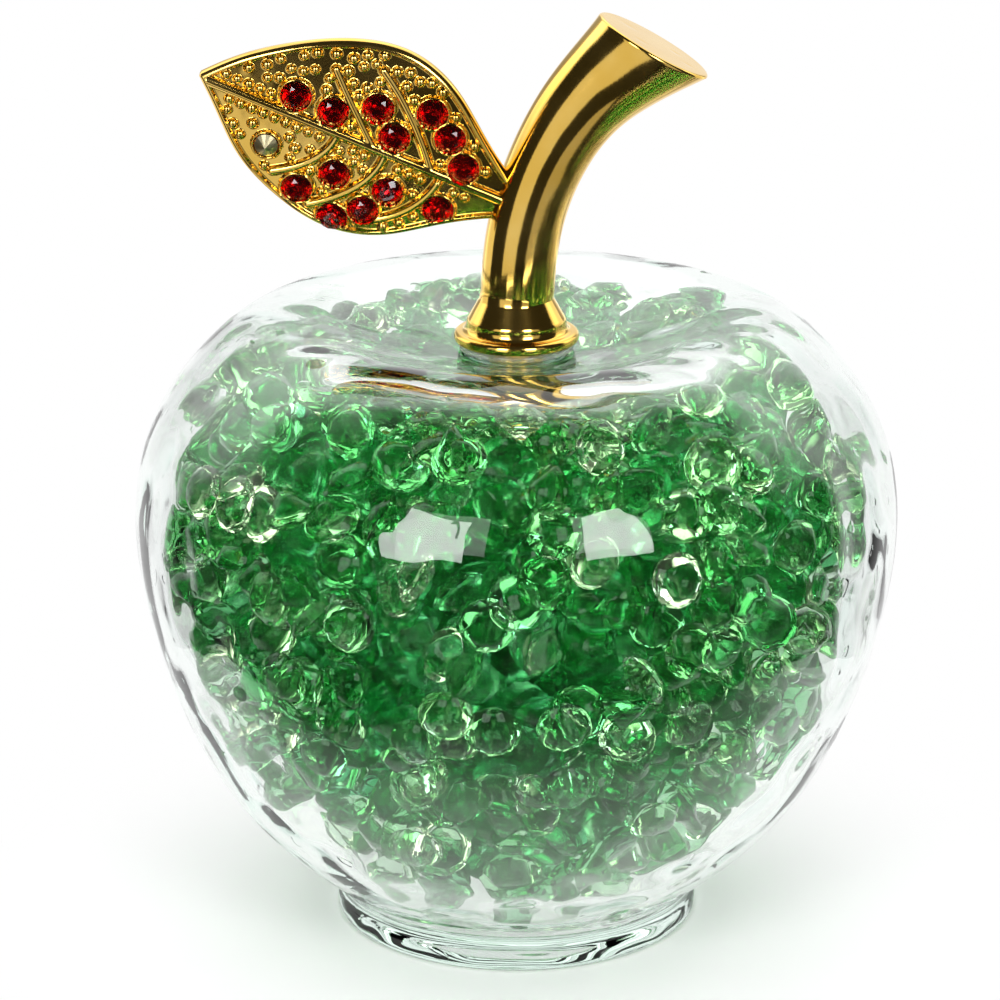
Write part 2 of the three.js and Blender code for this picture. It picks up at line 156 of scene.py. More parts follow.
VEINS = np.array([
    [(-13.5, 0.2), (-17.3, 3.6), (-20.4, 6.7)],
    [(-7.2, 0.3), (-11.2, 5.6), (-15.9, 8.5)],
    [(-17.6, -0.2), (-17.9, -3.6), (-22.3, -6.5)],
    [(-12.3, -0.2), (-12.4, -4.4), (-17.5, -8.45)],
    [(-6.2, -0.5), (-7, -5.3), (-12.2, -8.2)],
]) * MM
RED_STONES = np.array([
    (-23.1, 2.45), (-19, 2.4), (-14.9, 4.65), (-9.6, 6.35), (-6.9, 4.6), (-12.2, 2.4), (-4.4, 2.2),
    (-16.3, -3.95), (-19.25, -7.15), (-10.55, -3.5), (-12.1, -6.55), (-14.7, -8.75), (-5, -3.15),
]) * MM
GREY_STONE = np.array((-23.9, -3.95)) * MM
GREY_SCALE = 0.83
STONE_RADIUS = 1.48 * MM
STONE_SINK = 0.12 * MM
STONE_CUT = {"table": 0.56, "crown": 0.36, "girdle": 0.08, "pavilion": 0.62, "star": 0.8, "keel": 0.24}


# Curves and paths

def spline(points, shares):
    """Points at these shares of the length of a natural cubic spline through the given points."""
    knots = np.asarray(points, float)
    steps = np.linalg.norm(np.diff(knots, axis=0), axis=1)
    slopes = np.diff(knots, axis=0) / steps[:, None]
    system = np.eye(len(knots))
    bends = np.zeros_like(knots)
    for i in range(1, len(knots) - 1):
        system[i, i - 1:i + 2] = steps[i - 1], 2 * (steps[i - 1] + steps[i]), steps[i]
        bends[i] = 6 * (slopes[i] - slopes[i - 1])
    bends = np.linalg.solve(system, bends)
    ends = np.concatenate([[0], np.cumsum(steps)])
    at = np.asarray(shares, float) * ends[-1]
    span = np.clip(np.searchsorted(ends, at, side="right") - 1, 0, len(steps) - 1)
    step = steps[span][:, None]
    far = (at - ends[span])[:, None] / step
    near = 1 - far
    bow = (near**3 - near) * bends[span] + (far**3 - far) * bends[span + 1]
    return near * knots[span] + far * knots[span + 1] + step**2 / 6 * bow


def quad_curve(start, bend, end, count):
    """Points along a quadratic curve, with both ends."""
    t = np.linspace(0, 1, count)[:, None]
    start, bend, end = (np.asarray(p, float) for p in (start, bend, end))
    return (1 - t)**2 * start + 2 * t * (1 - t) * bend + t**2 * end


def outward(path):
    """Unit normals of a 2-D path, to the right of its course."""
    along = np.gradient(path, axis=0)
    along /= np.linalg.norm(along, axis=1, keepdims=True)
    return np.stack([along[:, 1], -along[:, 0]], axis=1)


def distance_to_path(points, path):
    """Distance from each 2-D point to the nearest place on an open path."""
    nearest = np.full(len(points), np.inf)
    for start, end in zip(path[:-1], path[1:]):
        step = end - start
        offset = points - start
        share = np.clip(offset @ step / (step @ step), 0, 1)
        nearest = np.minimum(nearest, np.linalg.norm(offset - share[:, None] * step, axis=1))
    return nearest


def smoothstep(low, high, value):
    t = np.clip((value - low) / (high - low), 0, 1)
    return t * t * (3 - 2 * t)


def smooth_max(a, b, soft):
    """The larger of two heights, with a fillet where they cross."""
    share = np.clip(0.5 + 0.5 * (a - b) / soft, 0, 1)
    return b + (a - b) * share + soft * share * (1 - share)


# Meshes and pieces

def skin(rings, low_pole, high_pole):
    """Points and faces of a skin over closed rings, with a fan to a pole at each end."""
    count, sides = rings.shape[:2]
    points = np.concatenate([rings.reshape(-1, 3), [low_pole], [high_pole]])
    ids = np.arange(count * sides).reshape(count, sides)
    after = np.roll(ids, -1, axis=1)
    quads = np.stack([ids[:-1], after[:-1], after[1:], ids[1:]], axis=-1).reshape(-1, 4)
    low = [(b, a, count * sides) for a, b in zip(ids[0], after[0])]
    high = [(a, b, count * sides + 1) for a, b in zip(ids[-1], after[-1])]
    return points, quads.tolist() + low + high


def ring(angles, radius, height):
    """Points round the Z axis at these angles, with one height for all or one for each."""
    return np.stack([radius * np.cos(angles), radius * np.sin(angles), height + 0 * angles], axis=1)


def grid_faces(ids):
    """Four-sided faces between neighbours in a grid of point numbers."""
    return np.stack([ids[:-1, :-1], ids[:-1, 1:], ids[1:, 1:], ids[1:, :-1]], axis=-1).reshape(-1, 4).tolist()


def turn(profile, sides):
    """Rings of a profile of radius and height, turned about the Z axis."""
    angle = np.linspace(0, 2 * math.pi, sides, endpoint=False)
    radius, height = profile[:, :1], profile[:, 1:]
    return np.stack([radius * np.cos(angle), radius * np.sin(angle), height + 0 * angle], axis=-1)


# Angle between faces from which an edge of a smooth piece stays crisp. The gems' worn edges never do.
CRISP = {
    "glass": math.radians(35),
    "gem": math.pi,
    "bung": math.radians(40),
    "stem": math.radians(32),
    "leaf": math.radians(70),
}


def add_piece(name, points, faces, materials, body, nodes, sharp=None, kinds=None):
    """A mesh piece that rides on a body and stands for CAD nodes.
    Edges stay crisp from the angle sharp on, and kinds picks a material for each face."""
    mesh = bpy.data.meshes.new(name)
    mesh.from_pydata(np.asarray(points, float).tolist(), [], faces)
    for material in materials:
        mesh.materials.append(material)
    if kinds is not None:
        mesh.polygons.foreach_set("material_index", kinds)
    if sharp is not None:
        mesh.shade_smooth()
        mesh.set_sharp_from_angle(angle=sharp)
    mesh.validate()
    piece = bpy.data.objects.new(name, mesh)
    bpy.context.scene.collection.objects.link(piece)
    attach(piece, body)
    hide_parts(*nodes)


# Shader wiring

class Wire:
    """A node tree and one output socket in it. Arithmetic on wires adds Math nodes."""

    def __init__(self, tree, socket=None):
        self.tree = tree
        self.socket = socket

    def node(self, kind, settings=None, inputs=None, output=0):
        """Adds a node, its settings first and then its inputs, which are values or wires."""
        made = self.tree.nodes.new(kind)
        for name, value in (settings or {}).items():
            setattr(made, name, value)
        for name, value in (inputs or {}).items():
            if isinstance(value, Wire):
                self.tree.links.new(value.socket, made.inputs[name])
            else:
                made.inputs[name].default_value = value
        return Wire(self.tree, made.outputs[output] if made.outputs else None)

    def out(self, name):
        """Another output of the same node."""
        return Wire(self.tree, self.socket.node.outputs[name])

    def math(self, operation, *inputs):
        return self.node("ShaderNodeMath", {"operation": operation}, dict(enumerate(inputs)))

    def __add__(self, other):
        return self.math("ADD", self, other)

    def __sub__(self, other):
        return self.math("SUBTRACT", self, other)

    def __rsub__(self, other):
        return self.math("SUBTRACT", other, self)

    def __mul__(self, other):
        return self.math("MULTIPLY", self, other)

    __radd__ = __add__
    __rmul__ = __mul__


def new_finish(name):
    material = bpy.data.materials.new(name)
    material.use_nodes = True
    material.node_tree.nodes.clear()
    return material, Wire(material.node_tree)


def close_finish(shade, surface, volume=None):
    inputs = {"Surface": surface}
    if volume is not None:
        inputs["Volume"] = volume
    shade.node("ShaderNodeOutputMaterial", None, inputs)


def mix_colour(shade, share, first, second):
    inputs = {0: share, 6: first, 7: second}
    return shade.node("ShaderNodeMix", {"data_type": "RGBA"}, inputs, output=2)


def object_noise(shade, scale, detail, stretch=(1, 1, 1)):
    """Noise of about 0 to 1 in the object's own space, with scale in features per metre."""
    place = shade.node("ShaderNodeTexCoord", output=3)
    place = shade.node("ShaderNodeMapping", None, {"Vector": place, "Scale": stretch})
    return shade.node("ShaderNodeTexNoise", None, {"Vector": place, "Scale": scale, "Detail": detail})


def ramp(shade, low, high, value):
    """0 below low, 1 above high and smooth between them."""
    return shade.node(
        "ShaderNodeMapRange",
        {"interpolation_type": "SMOOTHSTEP"},
        {"Value": value, "From Min": low, "From Max": high},
    )


def bump(shade, height, depth):
    return shade.node("ShaderNodeBump", None, {"Strength": 1.0, "Distance": depth, "Height": height})


# Finishes

# Shares of the ripples and of the small bubbles in the glass's unevenness, beside its streaks
RIPPLE_SHARE = 1.2
BUBBLE_SHARE = 0.06


def clear_glass():
    material, shade = new_finish("clear_glass")
    streaks = object_noise(shade, 45, 0.0, (1, 1, 0.35))
    ripples = object_noise(shade, 170, 0.0)
    bubbles = ramp(shade, 0.78, 0.84, object_noise(shade, 420, 0.0))
    height = streaks + ripples * RIPPLE_SHARE + bubbles * BUBBLE_SHARE
    normal = bump(shade, height, 0.25 * MM)
    glass = shade.node("ShaderNodeBsdfPrincipled", None, {
        "Base Color": (0.985, 0.995, 0.99, 1),
        "Roughness": 0.0,
        "IOR": 1.5,
        "Transmission Weight": 1.0,
        "Normal": normal,
    })
    tint = shade.node("ShaderNodeVolumeAbsorption", None, {"Color": (0.62, 0.92, 0.78, 1), "Density": 14.0})
    close_finish(shade, glass, tint)
    return material


def green_acrylic(name, colour, density, rubbed=0.0):
    """Moulded clear acrylic: the deeper the light goes, the greener it gets."""
    material, shade = new_finish(name)
    sinks = object_noise(shade, 420, 1.0)
    acrylic = shade.node("ShaderNodeBsdfPrincipled", None, {
        "Base Color": (0.97, 1.0, 0.97, 1),
        "Roughness": rubbed,
        "IOR": 1.42,
        "Transmission Weight": 1.0,
        "Normal": bump(shade, sinks, 0.004 * MM),
    })
    depth = shade.node("ShaderNodeVolumeAbsorption", None, {"Color": colour, "Density": density})
    close_finish(shade, acrylic, depth)
    return material


def gilding(name, ripple, ripple_scale):
    """Bright gold plating over a casting: faint ripples, haze and warmer worn patches."""
    material, shade = new_finish(name)
    waves = object_noise(shade, ripple_scale, 1.0)
    grain = object_noise(shade, 2600, 2.0)
    haze = object_noise(shade, 160, 3.0)
    colour = mix_colour(shade, ramp(shade, 0.35, 0.7, haze), (0.88, 0.55, 0.1, 1), (0.93, 0.62, 0.16, 1))
    gold = shade.node("ShaderNodeBsdfPrincipled", None, {
        "Base Color": colour,
        "Metallic": 1.0,
        "Roughness": ramp(shade, 0.4, 0.8, haze) * 0.06 + 0.1,
        "Normal": bump(shade, waves + grain * 0.02, ripple),
    })
    close_finish(shade, gold)
    return material


def stone_crown(name, colour):
    material, shade = new_finish(name)
    cloud = object_noise(shade, 900, 1.0)
    glass = shade.node("ShaderNodeBsdfPrincipled", None, {
        "Base Color": mix_colour(shade, cloud, colour, tuple(0.7 * c for c in colour[:3]) + (1,)),
        "Roughness": 0.0,
        "IOR": 1.56,
        "Transmission Weight": 1.0,
    })
    close_finish(shade, glass)
    return material


def stone_foil(name, colour, roughness):
    """Mirror foil behind a stone's pavilion, a little uneven."""
    material, shade = new_finish(name)
    mottle = object_noise(shade, 1300, 2.0)
    foil = shade.node("ShaderNodeBsdfPrincipled", None, {
        "Base Color": mix_colour(shade, mottle, colour, tuple(0.6 * c for c in colour[:3]) + (1,)),
        "Metallic": 1.0,
        "Roughness": mottle * 0.1 + roughness,
    })
    close_finish(shade, foil)
    return material


def soft_clear():
    material, shade = new_finish("soft_clear_plastic")
    cloud = object_noise(shade, 500, 2.0)
    plastic = shade.node("ShaderNodeBsdfPrincipled", None, {
        "Base Color": (0.93, 0.96, 0.94, 1),
        "Roughness": cloud * 0.15 + 0.1,
        "IOR": 1.42,
        "Transmission Weight": 0.9,
    })
    close_finish(shade, plastic)
    return material


# Glass apple

def outer_wall():
    return spline(APPLE_PROFILE, np.linspace(0, 1, 150))


def inner_wall(extra=0.0):
    """The cavity's side of the wall, from the floor's corner up and in to the neck."""
    wall = outer_wall()
    return wall - (GLASS_WALL + extra) * outward(wall)


def cavity_floor(corner, extra=0.0):
    """The cavity's floor, from the axis out to its rounded corner at the wall."""
    level = CAVITY_FLOOR + extra
    return quad_curve((0, level), (FLOOR_CORNER * corner[0], level), corner, 24)


def blown_apple(glass):
    kick_bend = (FOOT_KICK_SPREAD * FOOT_RING_INNER, FOOT_KICK)
    edge = FOOT_RADIUS - FOOT_ROUND
    outside = np.concatenate([
        quad_curve((0, FOOT_KICK), kick_bend, (FOOT_RING_INNER, 0), 24)[1:],
        quad_curve((edge, 0), (FOOT_RADIUS, 0), (FOOT_RADIUS, FOOT_ROUND), 8),
        quad_curve((FOOT_RADIUS, FOOT_RIM_HEIGHT), FOOT_WAIST, FOOT_TOP, 12)[:-1],
        outer_wall(),
        quad_curve(APPLE_PROFILE[-1], (NECK_RADIUS, APPLE_PROFILE[-1][1]),
                   (NECK_RADIUS, APPLE_PROFILE[-1][1] - NECK_LIP), 8)[1:],
    ])
    cavity = inner_wall()[::-1]
    neck_foot = (NECK_RADIUS, cavity[0, 1] + NECK_LIP)
    inside = np.concatenate([
        quad_curve(neck_foot, (NECK_RADIUS, cavity[0, 1]), cavity[0], 6),
        cavity[1:],
        cavity_floor(cavity[-1])[-2:0:-1],
    ])
    rings = turn(np.concatenate([outside, inside]), GLASS_SIDES)
    wave_the_cavity(rings, len(outside))
    points, faces = skin(rings, (0, 0, FOOT_KICK), (0, 0, CAVITY_FLOOR))
    add_piece("blown_apple", points, faces, [glass], "apple", ["glass_apple"], CRISP["glass"])


def wave_the_cavity(rings, first):
    """Hand-blown unevenness: the inner wall runs in slow waves and upright drags."""
    inner = rings[first:]
    angle = np.arctan2(inner[..., 1], inner[..., 0])
    height = inner[..., 2] / (10 * MM)
    waves = np.sin(3 * angle + 0.9 * height) + 0.7 * np.sin(7 * angle - 1.3 * height + 1)
    drags = np.sin(13 * angle + 0.6 * np.sin(2 * height)) * np.cos(1.1 * height + 2 * angle)
    fade = smoothstep(*WAVE_FADE, np.hypot(inner[..., 0], inner[..., 1]))
    swell = 1 + fade * (WAVE_DEPTH * waves + DRAG_DEPTH * drags) / WAVE_RADIUS
    inner[..., 0] *= swell
    inner[..., 1] *= swell


# Gem fill

def moulded_gem(cut):
    """Points and faces of a round gem of radius 1 from a worn mould, with every edge a little round.
    It has eight facets on each side of a scalloped girdle."""
    eighth = np.arange(8) * math.pi / 4
    fine = np.arange(16) * math.pi / 8
    bulge = np.tile([0, 1 - math.cos(math.pi / 8)], 8)
    crown_slope = cut["crown"] / (1 - cut["table"])
    low = -cut["girdle"]
    points = np.concatenate([
        ring(eighth, cut["table"], cut["crown"]),
        ring(fine, 1, -crown_slope * bulge),
        ring(fine, 1, low + cut["pavilion"] * bulge),
        [(0, 0, low - cut["pavilion"])],
    ])
    upper, lower, culet = 8, 24, 40
    faces = [list(range(8))]
    for i in range(8):
        even, odd, wrap = 2 * i, 2 * i + 1, (2 * i + 2) % 16
        faces += [
            [upper + even, upper + odd, upper + wrap, (i + 1) % 8, i],
            [upper + even, lower + even, lower + odd, upper + odd],
            [upper + odd, lower + odd, lower + wrap, upper + wrap],
            [culet, lower + wrap, lower + odd, lower + even],
        ]
    form = bmesh.new()
    corners = [form.verts.new(point) for point in points]
    for face in faces:
        form.faces.new([corners[i] for i in face])
    bmesh.ops.bevel(form, geom=form.edges[:], offset=cut["edge"], segments=1, profile=0.5, affect="EDGES")
    form.verts.index_update()
    rounded = np.array([vertex.co for vertex in form.verts])
    rounded_faces = [[vertex.index for vertex in face.verts] for face in form.faces]
    form.free()
    return rounded, rounded_faces


def gem_room():
    """Outline of the gems' room in radius and height, from the axis up the wall and in under the bung."""
    wall = inner_wall(GEM_WALL_GAP)
    wall = wall[wall[:, 0] > GEM_ROOM_NECK]
    floor = cavity_floor(wall[0], GEM_WALL_GAP)
    return np.concatenate([floor, wall[1:], [(GEM_ROOM_TOP_RADIUS, GEM_ROOM_TOP), (0, GEM_ROOM_TOP)]])


FIELD_STEP = 0.5 * MM
FIELD_SIZE = (42 * MM, 70 * MM)


def room_field():
    """Depth inside the gems' room, below 0 outside it, on a grid over radius and height."""
    outline = gem_room()
    radius = np.arange(0, FIELD_SIZE[0], FIELD_STEP)
    height = np.arange(0, FIELD_SIZE[1], FIELD_STEP)
    places = np.stack(np.meshgrid(radius, height, indexing="ij"), axis=-1).reshape(-1, 2)
    depth = distance_to_path(places, outline)
    inside = np.zeros(len(places), bool)
    for (r0, z0), (r1, z1) in zip(outline, np.roll(outline, -1, axis=0)):
        if z0 != z1:
            crosses = (z0 > places[:, 1]) != (z1 > places[:, 1])
            inside ^= crosses & (places[:, 0] < r0 + (places[:, 1] - z0) * (r1 - r0) / (z1 - z0))
    return np.where(inside, depth, -depth).reshape(len(radius), len(height))


def read_field(field, points):
    """Depth inside the room and the direction inwards at 3-D points."""
    radius = np.maximum(np.hypot(points[..., 0], points[..., 1]), 1e-6)
    across = np.clip(radius / FIELD_STEP, 0, field.shape[0] - 1.001)
    up = np.clip(points[..., 2] / FIELD_STEP, 0, field.shape[1] - 1.001)
    i, j = across.astype(int), up.astype(int)
    a, b = across - i, up - j
    low = field[i, j] * (1 - a) + field[i + 1, j] * a
    high = field[i, j + 1] * (1 - a) + field[i + 1, j + 1] * a
    near = field[i, j] * (1 - b) + field[i, j + 1] * b
    far = field[i + 1, j] * (1 - b) + field[i + 1, j + 1] * b
    slope = (far - near) / radius
    inwards = np.stack([slope * points[..., 0], slope * points[..., 1], high - low], axis=-1)
    inwards /= np.maximum(np.linalg.norm(inwards, axis=-1, keepdims=True), 1e-9)
    return low * (1 - b) + high * b, inwards


# Balls that fill a gem of radius 1 and keep the gems apart: a ring at the rim, one in the middle, one below
RIM_BALLS = 8
RIM_BALL = {"reach": 0.77, "height": -0.02, "radius": 0.18}
MIDDLE_BALL = {"height": -0.06, "radius": 0.37}
POINT_BALL = {"height": -0.44, "radius": 0.24}


def gem_balls():
    """Centres and radii of the balls, with the middle one after those of the rim."""
    around = np.arange(RIM_BALLS) * math.pi / 4
    rim = ring(around, RIM_BALL["reach"], RIM_BALL["height"])
    centres = np.concatenate([rim, [(0, 0, MIDDLE_BALL["height"])], [(0, 0, POINT_BALL["height"])]])
    return centres, np.array([RIM_BALL["radius"]] * RIM_BALLS + [MIDDLE_BALL["radius"], POINT_BALL["radius"]])


def spun(axes, spin):
    """Sets of unit axes after a small turn about each spin vector, made square again."""
    angle = np.linalg.norm(spin, axis=1)[:, None, None]
    about = np.broadcast_to((spin / np.maximum(angle[:, 0], 1e-9))[:, None], axes.shape)
    once = np.cross(about, axes)
    axes = axes + np.sin(angle) * once + (1 - np.cos(angle)) * np.cross(about, once)
    x = axes[:, 0] / np.linalg.norm(axes[:, 0], axis=1, keepdims=True)
    z = np.cross(x, axes[:, 1])
    z /= np.linalg.norm(z, axis=1, keepdims=True)
    return np.stack([x, np.cross(z, x), z], axis=1)


GROW_STEPS = 110
REST_STEPS = 50
TRIES_PER_GEM = 12
TRY_BOX = ((-40 * MM, -40 * MM, 5 * MM), (40 * MM, 40 * MM, 64 * MM))
START_DEPTH = 0.5
START_SIZE = 0.55
GROWTH = 0.45
PAIR_REACH = 2.3
PAIR_STEPS = 5
PUSH = 1.3
LEVER = 0.5
SETTLE_SHARE = 0.6
SETTLE_TURN = 0.1
SETTLE_DEPTH = (1.6, 0.6)


def packed_gems():
    """Places and axes of the gems, which start small at random places and push each other apart as they grow.
    Many of those at the wall settle with their table against it."""
    random = np.random.default_rng(GEM_SEED)
    field = room_field()
    centres, radii = gem_balls()
    tries = random.uniform(*TRY_BOX, (TRIES_PER_GEM * GEM_COUNT, 3))
    places = tries[read_field(field, tries)[0] > START_DEPTH * GEM_RADIUS][:GEM_COUNT]
    axes = spun(np.tile(np.eye(3), (len(places), 1, 1)), random.normal(0, 2, (len(places), 3)))
    settling = SETTLE_TURN * (random.random(len(places)) < SETTLE_SHARE)
    reach = radii[:, None] + radii
    steps = GROW_STEPS + REST_STEPS
    for step in range(steps):
        size = GEM_RADIUS * min(1, START_SIZE + GROWTH * step / GROW_STEPS)
        if step % PAIR_STEPS == 0:
            first, second = close_pairs(places, PAIR_REACH * size)
        arms = np.einsum("kj,njx->nkx", centres * size, axes)
        balls = places[:, None] + arms
        push = np.zeros_like(places)
        spin = np.zeros_like(places)
        touches = np.zeros(len(places))

        def press(gems, arm, move):
            np.add.at(push, gems, move)
            np.add.at(spin, gems, np.cross(arm, move))
            np.add.at(touches, gems, 1)

        gap = balls[first][:, :, None] - balls[second][:, None]
        far = np.linalg.norm(gap, axis=-1)
        pair, a, b = np.nonzero(far < reach * size)
        far = np.maximum(far[pair, a, b], 1e-7)
        move = gap[pair, a, b] * (0.5 * (reach[a, b] * size - far) / far)[:, None]
        press(first[pair], arms[first[pair], a], move)
        press(second[pair], arms[second[pair], b], -move)

        depth, inwards = read_field(field, balls)
        gem, ball = np.nonzero(depth < radii * size)
        move = inwards[gem, ball] * (radii[ball] * size - depth[gem, ball])[:, None]
        press(gem, arms[gem, ball], move)

        at_wall = settling * smoothstep(SETTLE_DEPTH[0] * size, SETTLE_DEPTH[1] * size, depth[:, RIM_BALLS])
        flatten = at_wall[:, None] * np.cross(axes[:, 2], -inwards[:, RIM_BALLS])
        share = PUSH / np.maximum(touches, 1)[:, None]
        places = places + share * push
        axes = spun(axes, share * spin / (LEVER * size)**2 + flatten)
    return places, axes


def close_pairs(places, reach):
    """Indices of all pairs of places nearer than reach."""
    first, second = [], []
    for i in range(len(places) - 1):
        near = np.nonzero(((places[i + 1:] - places[i])**2).sum(1) < reach**2)[0] + i + 1
        first.append(np.full(len(near), i))
        second.append(near)
    return np.concatenate(first), np.concatenate(second)


def cut_gems(clear_tints, rubbed_tints):
    """The fill as groups of loose gems of one tint: clear ones next to the glass, rubbed ones inside."""
    places, axes = packed_gems()
    depth = read_field(room_field(), places)[0]
    points, faces = moulded_gem(GEM_CUT)
    points = points * GEM_RADIUS * GEM_SHOWN
    outer = np.nonzero(depth < GEM_LAYER)[0]
    inner = np.nonzero(depth >= GEM_LAYER)[0]
    group = 0
    for gems, tints in ((outer, clear_tints), (inner, rubbed_tints)):
        for number, tint in enumerate(tints):
            group += 1
            chosen = gems[number::len(tints)]
            cloud = np.concatenate([places[i] + points @ axes[i] for i in chosen])
            skins = [[v + n * len(points) for v in face] for n in range(len(chosen)) for face in faces]
            name = f"gems_{group:02d}"
            add_piece(name, cloud, skins, [tint], "apple", ["gem_fill"], CRISP["gem"])


# Bung

def clear_bung(plastic):
    first_rib = BUNG_LIP[1] - (BUNG_RIBS + 0.5) * BUNG_RIB_PITCH
    lip_radius, lip_low, lip_high = BUNG_LIP
    stretches = [[
        (BUNG_BOTTOM_RADIUS - BUNG_CHAMFER[0], BUNG_BOTTOM),
        (BUNG_BOTTOM_RADIUS, BUNG_BOTTOM + BUNG_CHAMFER[1]),
    ]]
    for rib in range(BUNG_RIBS):
        low = first_rib + rib * BUNG_RIB_PITCH
        bend = (BUNG_RADIUS + 2 * BUNG_RIB, low + BUNG_RIB_PITCH / 2)
        stretches.append(quad_curve((BUNG_RADIUS, low), bend, (BUNG_RADIUS, low + BUNG_RIB_PITCH), 10)[:-1])
    stretches.append([(BUNG_RADIUS, lip_low), (lip_radius - BUNG_LIP_CHAMFER[0], lip_low)])
    rim = (lip_radius, lip_low + BUNG_LIP_CHAMFER[1])
    stretches.append(quad_curve(rim, (lip_radius, lip_high), (lip_radius - BUNG_LIP_ROUND, lip_high), 6))
    floor = BUNG_BOTTOM + BUNG_FLOOR
    stretches.append([(BUNG_BORE, lip_high), (BUNG_BORE, floor)])
    points, faces = skin(turn(np.concatenate(stretches), BUNG_SIDES), (0, 0, BUNG_BOTTOM), (0, 0, floor))
    add_piece("clear_bung", points, faces, [plastic], "bung", ["neck_bung"], CRISP["bung"])


# Stem

STEM_SIDES = 128
HORN_RINGS = 150
HORN_START = 0.085
CUT_RIM_INSET = 0.055
CUT_RIM_RISE = 0.3 * MM
CUT_RIM_TURNS = np.linspace(0.15, 1, 7) * math.pi / 2
CUT_FACE_SHARES = np.linspace(0.97, 0.05, 36)

# Casting dents in the slanted cut: place, radius and depth in millimetres
DENTS = [
    ((2.2, 1.4), 0.5, 0.04),
    ((-1.4, -2.3), 0.6, 0.035),
    ((3.4, -1.2), 0.45, 0.03),
    ((-2.6, 1.9), 0.7, 0.03),
]


def horn_rings():
    """Rings of the flaring horn, which lean over until the last one lies in the slanted cut."""
    t = np.linspace(HORN_START, 1, HORN_RINGS)
    centre = spline(HORN_LINE, t)
    along = np.gradient(centre, axis=0)
    along /= np.linalg.norm(along, axis=1, keepdims=True)
    across = np.array((0.0, 1.0, 0.0))
    side = np.cross(across, along)
    radius = HORN_RADIUS + (HORN_END_RADIUS - HORN_RADIUS) * t**HORN_FLARE
    leaning = side + along * np.tan(HORN_CUT * t**2)[:, None]
    angle = np.linspace(0, 2 * math.pi, STEM_SIDES, endpoint=False)
    round_the_axis = np.cos(angle)[None, :, None] * leaning[:, None] + np.sin(angle)[None, :, None] * across
    return centre[:, None] + radius[:, None, None] * round_the_axis


def cut_face(edge):
    """Rings of the slanted cut: a rolled rim, then a flat face with a few casting dents."""
    centre = edge.mean(0)
    normal = np.cross(edge[0] - centre, edge[STEM_SIDES // 4] - centre)
    normal /= np.linalg.norm(normal)
    rings = []
    for turn_in in CUT_RIM_TURNS:
        inset = 1 - CUT_RIM_INSET * (1 - math.cos(turn_in))
        rings.append(centre + (edge - centre) * inset + normal * CUT_RIM_RISE * math.sin(turn_in))
    rim = rings[-1]
    level = rim.mean(0)
    for share in CUT_FACE_SHARES:
        circle = level + (rim - level) * share
        rings.append(circle - normal * dents(circle - level)[:, None])
    return np.array(rings), level - normal * dents(np.zeros((1, 3)))[0]


def dents(offset):
    """Depth of the dents at places on the cut, measured from its middle."""
    depth = np.zeros(len(offset))
    for (x, y), radius, deep in DENTS:
        spread = ((offset[:, 0] / MM - x)**2 + (offset[:, 1] / MM - y)**2) / radius**2
        depth += deep * MM * np.exp(-spread)
    return depth


def polished_stem(gold):
    radius, low, high = FLANGE
    middle = (low + high) / 2
    foot = np.concatenate([
        [(SPIGOT[0] - SPIGOT_CHAMFER, SPIGOT[1]), (SPIGOT[0], SPIGOT[1] + SPIGOT_CHAMFER), (SPIGOT[0], low)],
        quad_curve((radius - FLANGE_ROUND, low), (radius, low), (radius, middle), 10),
        quad_curve((radius, middle), (radius, high), (radius - FLANGE_ROUND, high), 10)[1:],
        quad_curve((radius - FLANGE_ROUND, high), (CONE_BOTTOM[0], high), CONE_BOTTOM, 16)[1:],
        quad_curve(CONE_BOTTOM, CONE_BEND, (HORN_RADIUS, CONE_TOP), 12)[1:],
    ])
    horn = horn_rings()
    cap, middle_of_cut = cut_face(horn[-1])
    rings = np.concatenate([turn(foot, STEM_SIDES), horn, cap])
    points, faces = skin(rings, (0, 0, SPIGOT[1]), middle_of_cut)
    add_piece("polished_stem", points, faces, [gold], "stem", ["stem"], CRISP["stem"])


# Leaf

LEAF_ROWS = 400
LEAF_COLUMNS = 200
BACK_STEP = 8
EVEN_COLUMNS = 0.45
EDGE_COLUMNS = 0.55
BORDER = 0.62 * MM
KERB_SLOPE = 1.6
KERB_FILLET = 0.12 * MM
GROUND_SINK = 0.38 * MM
MIDRIB_RADIUS = 0.62 * MM
VEIN_RADIUS = 0.52 * MM
VEIN_RISE = 1.25
VEIN_FILLET = 0.1 * MM
BEAD_RADIUS = 0.56 * MM
BEAD_SIZES = (0.86, 1.06)
BEAD_RISE = 0.95
BEAD_FILLET = 0.06 * MM
BEAD_SPACE = 1.16 * MM
BEAD_DARTS = 2600
BEAD_DART_BOX = ((-32 * MM, -10 * MM), (-2 * MM, 11 * MM))
BEAD_ROWS = {"border": 1.25 * MM, "midrib": 1.2 * MM, "vein": 1.05 * MM}
UPPER_BEADS = np.linspace(0.07, 0.985, 32)
LOWER_BEADS = np.linspace(0.07, 0.97, 33)
MIDRIB_BEADS = np.linspace(-30.5 * MM, -3 * MM, 23)
BEAD_ROOM = {"border": 0.45 * MM, "vein": 0.95 * MM, "stone": 0.75 * MM}
MIDRIB_MIDDLE = 0.35 * MM
RIDGE_FALL = 2
BEZEL_HALF = 0.2 * MM
BEZEL_RISE = 0.5 * MM
SEAT_MARGIN = 0.1 * MM
SEAT_TOP = 0.1 * MM
SEAT_DEPTH = 1.5 * MM
SEAT_FLOOR_RADIUS = 0.4 * MM
LEAF_SEED = 7


def leaf_frame():
    turned = Euler((math.pi / 2, 0, 0)).to_matrix() @ Euler((0, 0, -LEAF_RISE)).to_matrix()
    turned = turned @ Euler((LEAF_LEAN, 0, 0)).to_matrix()
    return Matrix.Translation(LEAF_ROOT) @ turned.to_4x4()


